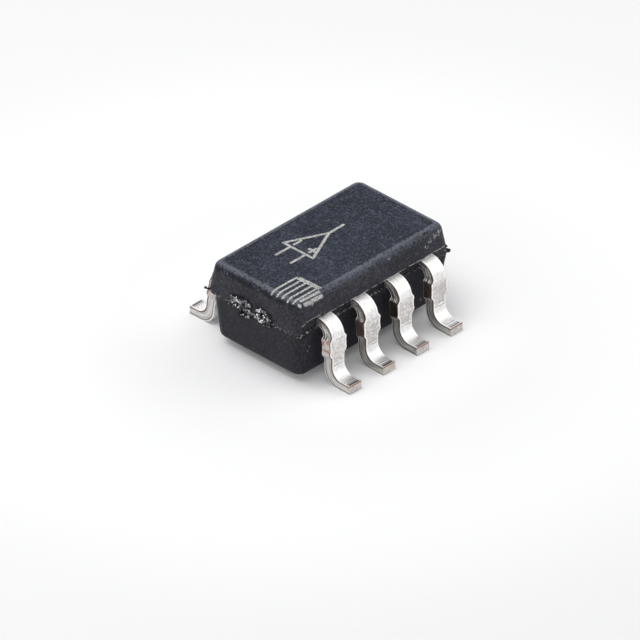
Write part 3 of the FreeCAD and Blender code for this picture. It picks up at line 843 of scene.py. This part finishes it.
def half_width(outwards, height, way, seed):
    """Half the lead's width at a place along it, on one side."""
    if outwards < LOCK_INNER - 0.004:
        share = (outwards - FINGER_TIP) / (LOCK_INNER - FINGER_TIP)
        return HALF_TIP + (HALF_FINGER - HALF_TIP) * share
    if outwards < LOCK_OUTER - 0.004:
        return HALF_LOCK
    if outwards < SHANK_IN - 0.05 or height < 0.2:
        return HALF_STRIP
    wander = 0.008 * noise.noise((way * 5.0, seed, height * 9))
    high = STUB_HIGH + 0.012 * noise.noise((way, seed + 4.0, 0))
    low = STUB_LOW + 0.012 * noise.noise((way, seed + 9.0, 0))
    inside = smooth(high + 0.055, high - 0.030, height) * smooth(low - 0.060, low + 0.020, height)
    dip = 0.006 * smooth(high - 0.02, high - 0.07, height) * smooth(low + 0.02, low + 0.07, height)
    ragged = 0.003 * noise.noise((way * 3.0, seed, height * 70))
    return HALF_STRIP + (HALF_STUB - HALF_STRIP - dip + wander + ragged) * inside


def section_template():
    """Places round the section: the face they are on and their share across it or up it."""
    arcs = [math.radians(angle) for angle in (30, 60)]

    def corner(angles, hand, top):
        return [("corner", math.sin(angle), 1 - math.cos(angle), hand, top) for angle in angles]

    template = [("outer", share) for share in np.linspace(-1, 1, 13)]
    template += corner(arcs, 1, 1)
    template += [("side", 1, share) for share in np.linspace(1, 0, 8)]
    template += corner(arcs[::-1], 1, 0)
    template += [("inner", share) for share in np.linspace(1, -1, 9)]
    template += corner(arcs, -1, 0)
    template += [("side", -1, share) for share in np.linspace(0, 1, 8)]
    return template + corner(arcs[::-1], -1, 1)


def make_lead(number):
    """One formed lead, with marks for its sheared sides, its raw edges and its cut ends."""
    column = number - 1 if number <= 4 else 8 - number
    side = 1 if number > 4 else -1
    seed = number * 3.7
    jog = CORNER_JOG * (1, 0, 0, -1)[column] * side
    outer, inner = lead_sides()
    template = section_template()
    lengths = np.concatenate([[0], np.cumsum(np.linalg.norm(np.diff(outer, axis=0), axis=1))])
    points = []
    marks = {name: [] for name in LEAD_MARKS}

    def add(place, *values):
        points.append(place)
        for name, value in zip(LEAD_MARKS, values):
            marks[name].append(value)

    for station, (out, low) in enumerate(zip(outer, inner)):
        thick = float(np.linalg.norm(out - low))
        up = (out - low) / thick
        shift = jog * float(smooth(LOCK_INNER, FINGER_TIP, out[0]))
        push = 0.0
        if number == BENT_LEAD:
            bent = float(smooth(0.80, 1.02, out[0]) * (0.28 + 0.72 * smooth(0.80, 0.25, out[1])))
            shift += bent * BENT_BY[0]
            push = bent * BENT_BY[1]
        in_stub = float(smooth(STUB_LOW - 0.02, STUB_LOW + 0.01, out[1]))
        in_stub *= float(smooth(STUB_HIGH + 0.02, STUB_HIGH - 0.01, out[1]))
        in_stub *= out[0] > SHANK_OUT - 0.02
        for entry in template:
            kind = entry[0]
            if kind in ("outer", "inner"):
                hand = 1 if entry[1] >= 0 else -1
                across = entry[1] * (half_width(*out, hand, seed) - BURR)
                level = thick if kind == "outer" else 0.0
                is_side, is_raw = 0.0, 0.0
            elif kind == "side":
                hand = entry[1]
                hollow = 0.004 * (1 - in_stub) * math.sin(math.pi * entry[2])
                across = hand * (half_width(*out, hand, seed) - hollow)
                level = BURR + (thick - 2 * BURR) * entry[2]
                is_side = 1.0
                is_raw = 1.0 if entry[2] in (0.0, 1.0) else 0.0
            else:
                _, over, drop, hand, top = entry
                across = hand * (half_width(*out, hand, seed) - BURR + BURR * over)
                level = thick - BURR * drop if top else BURR * drop
                is_side, is_raw = 0.35, 1.0
            share = level / thick
            if kind == "outer":
                level += relief(lengths[station], across, seed)
                level += 0.0025 * noise.noise((across * 9, lengths[station] * 9, seed))
            outwards, height = low + up * level
            inward = half_width(*out, hand, seed) - abs(across) if kind == "outer" else 0.0
            in_cut = in_stub if kind == "side" else 0.5 * in_stub * is_raw
            spot = [across + shift, outwards + push, max(height, 0.0)]
            add(spot, is_side, is_raw, in_cut, lengths[station], share, 0.0, inward)
    count = len(template)
    stations = len(outer)
    faces = tube_faces(stations, count)

    # The toe is a sheared end: a small rounded step, then the flat cut
    toe_ring = np.array(points[-count:])
    middle = toe_ring.mean(axis=0)
    for shrink, push in TOE_ROWS:
        for place in toe_ring:
            moved = middle + (place - middle) * shrink
            at_edge = 1.0 if shrink > 0.95 and moved[2] > FOOT_TOP * 0.7 else 0.0
            spot = [moved[0], place[1] + push, max(moved[2], 0.0)]
            add(spot, 0.0, at_edge, 0.0, lengths[-1] + 0.1, 0.5, 1.0, 0.1)
    toe_faces = tube_faces(len(TOE_ROWS) + 1, count)
    faces += [[corner + (stations - 1) * count for corner in face] for face in toe_faces]
    last = (stations + len(TOE_ROWS) - 1) * count
    faces.append([last + index for index in range(count)])
    faces.append(list(range(count))[::-1])

    points = np.array(points)
    if side < 0:
        points[:, :2] *= -1
    points[:, 0] += (column - 1.5) * LEAD_PITCH
    faces = [face[::-1] for face in faces]
    marks["stub_darkness"] = [STUB_DARKNESS[number - 1]] * len(points)
    lead = make_piece(f"formed_lead_{number}", points, faces, marks)
    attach(lead, "root")
    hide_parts(f"lead_{number}")
    return lead


tin, tree, shader, place = new_material("Tin plating over copper alloy")
marks = read_marks(tree, LEAD_MARKS + ("stub_darkness",))
split_place = add_node(tree, "ShaderNodeSeparateXYZ", {0: place}).outputs
across, height = split_place["X"], split_place["Z"]


def line_at(value, middle, half):
    """A soft line where a value passes a number."""
    away = calc("ABSOLUTE", calc("SUBTRACT", value, middle))
    return rise(away, half * 1.5, half * 0.5)


# The outer face: bright tin, dulled and scratched on the shank, with painted highlights and painted
# dark reflections across its waves, painted highlights along its edges and painted shade towards +X
HIGHLIGHT_WHITE, EDGE_HIGHLIGHT = (0.97, 0.96, 0.95), (0.98, 0.97, 0.96)
PIT_BROWN, LINE_BROWN, REFLECTION_BROWN = (0.20, 0.15, 0.12), (0.12, 0.095, 0.085), (0.30, 0.27, 0.24)
SCRATCH_GREY, SHADED_GREY = (0.36, 0.33, 0.32), (0.40, 0.38, 0.37)
skin_grain = grained(place, 0.030, 0.2)
swing = fractal(place, 9.0, 3.0, 0.6)
wavy_run = calc("ADD", marks["run"], ramp(swing, 0.07, -0.035))
foot_run = calc("ADD", marks["run"], ramp(swing, 0.02, -0.010))
plated = blend(rise(skin_grain["Tone"], 0.34, 0.66), (0.76, 0.75, 0.74), (0.94, 0.93, 0.92))
dull = blend(rise(skin_grain["Tone"], 0.38, 0.62), (0.50, 0.470, 0.458), (0.81, 0.775, 0.760))
# Painted shade: the shanks of the leads at the +X end are darker
dull = paint(dull, rise(across, 0.80, 1.05), 0.45, SHADED_GREY)
wear_and_sheen = times(rise(marks["run"], 0.74, 0.86), rise(marks["run"], 1.20, 1.12))
plated = paint(plated, wear_and_sheen, 0.9, dull)
pits = flaked(place, 0.055, 1.0, 0.10)
plated = paint(plated, pits["Mask"], 0.6, PIT_BROWN)
scratched = patches(stretched(place, (60, 5, 9), 0.7), 1.0, 0.56, 0.66)
scratch_share = ramp(rise(marks["run"], 1.14, 1.20), -0.28, 0.5)
plated = paint(plated, scratched, scratch_share, SCRATCH_GREY)
slanted = patches(stretched(place, (4, 4, 60), -0.55), 1.0, 0.56, 0.66, 2.0, 0.5)
slanted = times(slanted, rise(height, 0.72, 0.60))
plated = paint(plated, times(slanted, wear_and_sheen), 0.45, SCRATCH_GREY)
broken = patches(place, 13.0, 0.44, 0.56)
for middle, half, share in ((0.790, 0.007, 0.30), (1.176, 0.007, 0.55)):
    plated = paint(plated, times(line_at(wavy_run, middle, half), share), broken, LINE_BROWN)
# Painted highlights: a bright line where the shank meets the lower bend, and three across the foot's waves
plated = paint(plated, line_at(wavy_run, 1.156, 0.008), 0.9, HIGHLIGHT_WHITE)
for middle, half in ((1.508, 0.014), (1.546, 0.007), (1.588, 0.005)):
    plated = paint(plated, line_at(foot_run, middle, half), 0.95, HIGHLIGHT_WHITE)
# Painted reflections: dark bands across the foot, where its flat parts mirror the dark body
reflection_patches = patches(place, 5.0, 0.42, 0.56, 1.0, 0.5)
plated = paint(plated, times(line_at(foot_run, 1.488, 0.011), 0.7), reflection_patches, REFLECTION_BROWN)
wave_reflection = blend(times(rise(across, 0.0, 0.3), 0.9), (0.070, 0.060, 0.055), (0.24, 0.25, 0.26))
for middle, half, share in ((1.530, 0.008, 0.75), (1.566, 0.019, 0.92)):
    plated = paint(plated, line_at(foot_run, middle, half), share, wave_reflection)
# Painted highlight: patchy white along the rounded edges of the outer face
wear_and_highlight_patches = patches(place, 24.0, 0.28, 0.44, 2.0)
edge_highlight = times(rise(marks["inward"], 0.036, 0.022), wear_and_highlight_patches)
plated = paint(plated, edge_highlight, 0.9, EDGE_HIGHLIGHT)

# The sheared sides: streaks along the strip, harder near the body than below, with a pale line near
# the inner face, a dark one beside it, and a line of painted shade at the outer face
streak_place = add_node(tree, "ShaderNodeCombineXYZ", {
    "X": times(marks["depth"], ramp(rise(marks["run"], 0.95, 0.75), 9.0, 5.0)),
    "Y": times(marks["run"], 4.0),
    "Z": times(across, 2.0),
}).outputs[0]
streaks = fractal(streak_place, 1.0, 3.0, 0.6)
high_side = blend(rise(streaks, 0.44, 0.57), (0.050, 0.042, 0.035), (0.93, 0.91, 0.88))
low_side = blend(rise(streaks, 0.38, 0.62), (0.29, 0.28, 0.265), (0.66, 0.64, 0.61))
# Painted reflection: lower sides lighter on the paler leads at the -X end, which face open floor
low_side = blend(ramp(marks["stub_darkness"], -0.5, 0.5), low_side, (0.82, 0.80, 0.78))
side_colour = blend(rise(marks["run"], 0.95, 0.80), low_side, high_side)
for middle, half, share, pigment in (
    (0.17, 0.05, 0.8, (0.045, 0.030, 0.022)),
    (0.05, 0.05, 0.9, (0.90, 0.88, 0.86)),
    # Painted shade: the dark line along the outer face
    (0.94, 0.09, 0.9, (0.050, 0.028, 0.018)),
):
    side_colour = paint(side_colour, line_at(marks["depth"], middle, half), share, pigment)
colour = blend(rise(marks["sheared"], 0.5, 0.9), plated, side_colour)

# Bare alloy: the torn ends of the stubs, pale or dark, the cut toe and the raw edges
TOE_COPPER, EDGE_COPPER = (0.30, 0.14, 0.08), (0.16, 0.085, 0.050)
dark_cut = blend(rise(streaks, 0.4, 0.6), (0.020, 0.013, 0.010), (0.075, 0.050, 0.038))
pale_cut = blend(patches(place, 14.0, 0.55, 0.63, 2.0, 0.5), (0.68, 0.62, 0.60), (0.45, 0.28, 0.20))
cut_colour = blend(marks["stub_darkness"], pale_cut, dark_cut)
colour = blend(rise(marks["cut"], 0.5, 0.95), colour, cut_colour)
mottle = patches(place, 26.0, 0.38, 0.60, 2.0)
toe_colour = blend(mottle, (0.46, 0.43, 0.41), (0.60, 0.57, 0.55))
toe_colour = paint(toe_colour, rise(height, 0.102, 0.114), wear_and_highlight_patches, TOE_COPPER)
colour = blend(marks["toe"], colour, toe_colour)
edge = times(rise(marks["raw_edge"], 0.35, 0.9), calc("SUBTRACT", 1.0, marks["toe"]))
edge = times(edge, rise(marks["depth"], 0.5, 0.9))
colour = paint(colour, edge, 0.8, EDGE_COPPER)
rough = calc("ADD", ramp(skin_grain["Tone"], 0.20, 0.32), times(marks["sheared"], 0.08), clamp=True)
normal = add_bump(times(streaks, marks["sheared"]), 0.010, add_bump(skin_grain["Height"], 0.004))
metal = calc("SUBTRACT", 0.78, times(marks["cut"], 0.2))
fill(shader, {"Base Color": colour, "Metallic": metal, "Roughness": rough, "Normal": normal})
for number in range(1, 9):
    make_lead(number).data.materials.append(tin)

# Paddle under the chip. The same copper alloy, unplated inside the resin: it is set down below
# the leads, and a formed bar from each end of it reaches the ends of the body.
copper, tree, shader, place = new_material("Bare copper alloy")
sheet_grain = grained(place, 0.03, 0.2)
colour = blend(sheet_grain["Tone"], (0.46, 0.23, 0.13), (0.66, 0.38, 0.24))
stains = flaked(place, 0.09, 1.0, 0.22)
fill(shader, {
    "Base Color": blend(stains["Mask"], colour, (0.22, 0.11, 0.07)),
    "Metallic": 1.0,
    "Roughness": ramp(sheet_grain["Tone"], 0.3, 0.2),
    "Normal": add_bump(fractal(stretched(place, (4, 90, 90)), 1.0), 0.003),
})


def dress(name, material):
    """Gives the solid of a node one material in place of its own."""
    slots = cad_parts[name].data.materials
    slots.clear()
    slots.append(material)


dress("die_pad", copper)

# Chip and the silver-filled epoxy that holds it down on the paddle. The chip is sawn from a
# polished wafer, so its sides are matt and its face is a mirror with faint squares of circuit.
silicon, tree, shader, place = new_material("Silicon chip")
squares = {"Vector": place, "Scale": 14.0, "Randomness": 0.6}
circuit = add_node(tree, "ShaderNodeTexVoronoi", squares, distance="CHEBYCHEV").outputs
saw_grain = grained(place, 0.012, 0.3)
colour = blend(circuit["Color"], (0.10, 0.10, 0.13), (0.26, 0.27, 0.33))
fill(shader, {
    "Base Color": paint(colour, saw_grain["Specks"], 0.4, (0.5, 0.48, 0.45)),
    "Metallic": 0.7,
    "Roughness": ramp(saw_grain["Tone"], 0.3, 0.1),
    "Normal": add_bump(circuit["Distance"], 0.002),
})
dress("silicon_die", silicon)

glue, tree, shader, place = new_material("Silver-filled die attach")
flake_grain = grained(place, 0.010, 0.7)
fill(shader, {
    "Base Color": blend(flake_grain["Specks"], (0.30, 0.30, 0.31), (0.72, 0.72, 0.70)),
    "Metallic": 0.4,
    "Roughness": ramp(flake_grain["Tone"], 0.4, 0.3),
    "Normal": add_bump(flake_grain["Height"], 0.004),
})
dress("die_attach", glue)

# Bond wires. Drawn gold, melted to a ball on the chip and pressed flat on each finger. The resin
# round them keeps them in place.
gold, tree, shader, place = new_material("Gold bond wire")
drawn_grain = grained(place, 0.008, 0.2)
fill(shader, {
    "Base Color": blend(drawn_grain["Tone"], (0.72, 0.45, 0.13), (0.95, 0.68, 0.28)),
    "Metallic": 1.0,
    "Roughness": ramp(drawn_grain["Tone"], 0.2, 0.12),
    "Normal": add_bump(drawn_grain["Height"], 0.001),
})
for number in range(1, 9):
    dress(f"bond_wire_{number}", gold)

# Floor, light and camera. A sheet of white paper, with painted light that makes it brightest round the
# part, under soft light from a pale sky with a brighter ring low in it, and from four softboxes that
# the camera doesn't see.
FLOOR_HALF, FLOOR_LEVEL = 60.0, -0.0005
FLOOR_ROWS = 25
steps = np.linspace(-FLOOR_HALF, FLOOR_HALF, FLOOR_ROWS)
floor_points = [[x, y, FLOOR_LEVEL] for x in steps for y in steps]
floor_faces = []
for i in range(FLOOR_ROWS - 1):
    for j in range(FLOOR_ROWS - 1):
        corner = i * FLOOR_ROWS + j
        floor_faces.append([corner, corner + FLOOR_ROWS, corner + FLOOR_ROWS + 1, corner + 1])
studio_floor = make_piece("studio_floor", floor_points, floor_faces)
paper, tree, shader, place = new_material("White paper floor")
PAPER_MIDDLE, PAPER_OUTER = (0.838, 0.837, 0.833), (0.789, 0.788, 0.783)
# Painted light and shade: the paper is lighter near the part, against the shade round it, and darker far
# off
colour = blend(grained(place, 1.5, 0.2)["Tone"], (0.916, 0.916, 0.919), (0.922, 0.922, 0.925))
from_part = add_node(tree, "ShaderNodeVectorMath", {0: place}, operation="LENGTH").outputs["Value"]
colour = blend(rise(from_part, 1.3, 3.0), colour, PAPER_MIDDLE)
colour = blend(rise(from_part, 4.6, 7.5), colour, PAPER_OUTER)
fill(shader, {"Base Color": colour, "Roughness": 0.9, "Specular IOR Level": 0.0})
studio_floor.data.materials.append(paper)

world = bpy.data.worlds.new("Pale studio")
bpy.context.scene.world = world
world.use_nodes = True
tree = world.node_tree
tree.nodes.clear()
seen_by = add_node(tree, "ShaderNodeLightPath").outputs
direct = calc("MAXIMUM", seen_by["Is Camera Ray"], seen_by["Is Transmission Ray"])
sky = add_node(tree, "ShaderNodeTexCoord").outputs["Generated"]
climb = add_node(tree, "ShaderNodeSeparateXYZ", {0: sky}).outputs["Z"]
low_ring = times(rise(climb, 0.12, 0.27), rise(climb, 0.52, 0.36))
strength = ramp(low_ring, 1.95, 0.40)
pale_sky = add_node(tree, "ShaderNodeBackground", {"Color": (0.98, 0.985, 1.0, 1), "Strength": strength})
backdrop = add_node(tree, "ShaderNodeBackground", {"Color": (1, 1, 1, 1), "Strength": 0.985})
shown = add_node(tree, "ShaderNodeMixShader", {0: direct, 1: pale_sky.outputs[0], 2: backdrop.outputs[0]})
add_node(tree, "ShaderNodeOutputWorld", {"Surface": shown.outputs[0]})

# Each softbox: the way to it from the part, its size and how bright its face is
AIM = Vector((0, 0, 0.6 * MM))
LAMP_DISTANCE = 30
for name, way, size, radiance in (
    ("overhead_softbox", (-0.25, 0.19, 0.95), 22, 2.28),
    ("rear_softbox", (-0.30, 0.36, 0.88), 20, 1.05),
    ("right_softbox", (0.66, -0.20, 0.72), 20, 1.10),
    ("front_softbox", (0.62, -0.52, 0.60), 12, 1.0),
):
    lamp = bpy.data.lights.new(name, "AREA")
    lamp.shape = "SQUARE"
    lamp.size = size * MM
    lamp.energy = radiance * math.pi * (size * MM) ** 2
    holder = bpy.data.objects.new(name, lamp)
    bpy.context.scene.collection.objects.link(holder)
    way = Vector(way).normalized()
    holder.location = AIM + way * LAMP_DISTANCE * MM
    holder.rotation_mode = "QUATERNION"
    holder.rotation_quaternion = way.to_track_quat("Z", "Y")
    holder.visible_camera = False

AZIMUTH, ELEVATION = math.radians(-46.07), math.radians(33.47)
DISTANCE, TO_RIGHT, UPWARDS = 285.2, -0.1303, 0.0279
LENS, SENSOR = 1200, 36
back = Vector((
    math.sin(AZIMUTH) * math.cos(ELEVATION),
    -math.cos(AZIMUTH) * math.cos(ELEVATION),
    math.sin(ELEVATION),
))
right = Vector((math.cos(AZIMUTH), math.sin(AZIMUTH), 0))
above = back.cross(right)
lens = bpy.data.cameras.new("camera")
lens.lens = LENS
lens.sensor_width = SENSOR
lens.clip_start = 0.01
lens.clip_end = 2.0
camera = bpy.data.objects.new("camera", lens)
bpy.context.scene.collection.objects.link(camera)
camera.location = (back * DISTANCE + right * TO_RIGHT + above * UPWARDS) * MM
camera.rotation_mode = "QUATERNION"
camera.rotation_quaternion = (-back).to_track_quat("-Z", "Y")
bpy.context.scene.camera = camera
bpy.context.scene.view_settings.view_transform = "Standard"
